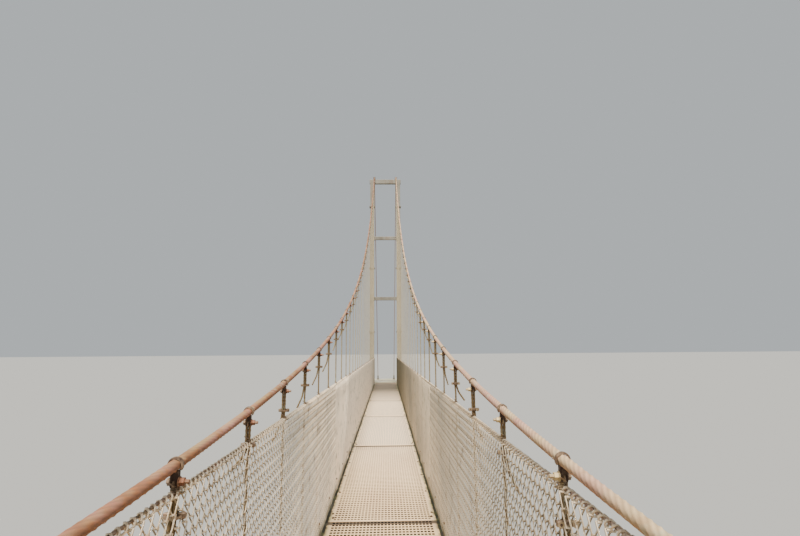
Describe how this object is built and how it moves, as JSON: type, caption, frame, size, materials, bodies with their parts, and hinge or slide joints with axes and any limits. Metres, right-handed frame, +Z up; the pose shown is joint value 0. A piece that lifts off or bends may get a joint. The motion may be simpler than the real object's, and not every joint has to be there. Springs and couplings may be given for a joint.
{
  "type": "suspension footbridge, 1:2 scale model",
  "caption": "Narrow footbridge hung from wire-rope main cables, with perforated metal deck sheets, rope hangers, chain-link sides, portal towers and concrete anchor blocks, at 1:2 scale.",
  "frame": {"origin": "on the ground, under the middle of the span, on the centre line of the walkway", "axes": "+Y along the walkway, the way the picture looks; +X to the right of a walker going that way; +Z up"},
  "size_m": [1.04, 37.026, 5.7003],
  "materials": {
    "main_rope": "six-strand steel wire rope, weathered, tan with rust and pale lichen",
    "hanger_rope": "galvanised steel wire rope gone dull grey-beige",
    "chain_link": "galvanised chain-link wire, dulled to cream grey",
    "deck_sheet": "perforated metal sheet, pale and worn, with earth stains",
    "frame_steel": "galvanised steel section, dull and dirty",
    "tower_steel": "grey painted steel, weathered",
    "concrete": "board-marked concrete, damp and mossy at the foot"
  },
  "bodies": {
    "root": {"deck_sheet_01": "deck_sheet", "deck_sheet_02": "deck_sheet", "deck_sheet_03": "deck_sheet", "deck_sheet_04": "deck_sheet", "deck_sheet_05": "deck_sheet", "deck_sheet_06": "deck_sheet", "deck_sheet_07": "deck_sheet", "deck_sheet_08": "deck_sheet", "deck_sheet_09": "deck_sheet", "deck_sheet_10": "deck_sheet", "deck_sheet_11": "deck_sheet", "deck_sheet_12": "deck_sheet", "deck_sheet_13": "deck_sheet", "end_plate_near": "deck_sheet", "end_plate_far": "deck_sheet", "floor_frame": "frame_steel", "main_cable_left": "main_rope", "hangers_left_near": "hanger_rope", "hangers_left_middle": "hanger_rope", "hangers_left_far": "hanger_rope", "fence_left_near": "chain_link", "fence_left_middle": "chain_link", "fence_left_far": "chain_link", "main_cable_right": "main_rope", "hangers_right_near": "hanger_rope", "hangers_right_middle": "hanger_rope", "hangers_right_far": "hanger_rope", "fence_right_near": "chain_link", "fence_right_middle": "chain_link", "fence_right_far": "chain_link", "abutment_near": "concrete", "tower_near": "tower_steel", "anchor_block_near": "concrete", "saddle_near_left": "tower_steel", "cable_anchor_near_left": "tower_steel", "saddle_near_right": "tower_steel", "cable_anchor_near_right": "tower_steel", "abutment_far": "concrete", "tower_far": "tower_steel", "anchor_block_far": "concrete", "saddle_far_left": "tower_steel", "cable_anchor_far_left": "tower_steel", "saddle_far_right": "tower_steel", "cable_anchor_far_right": "tower_steel"}
  },
  "joints": []
}
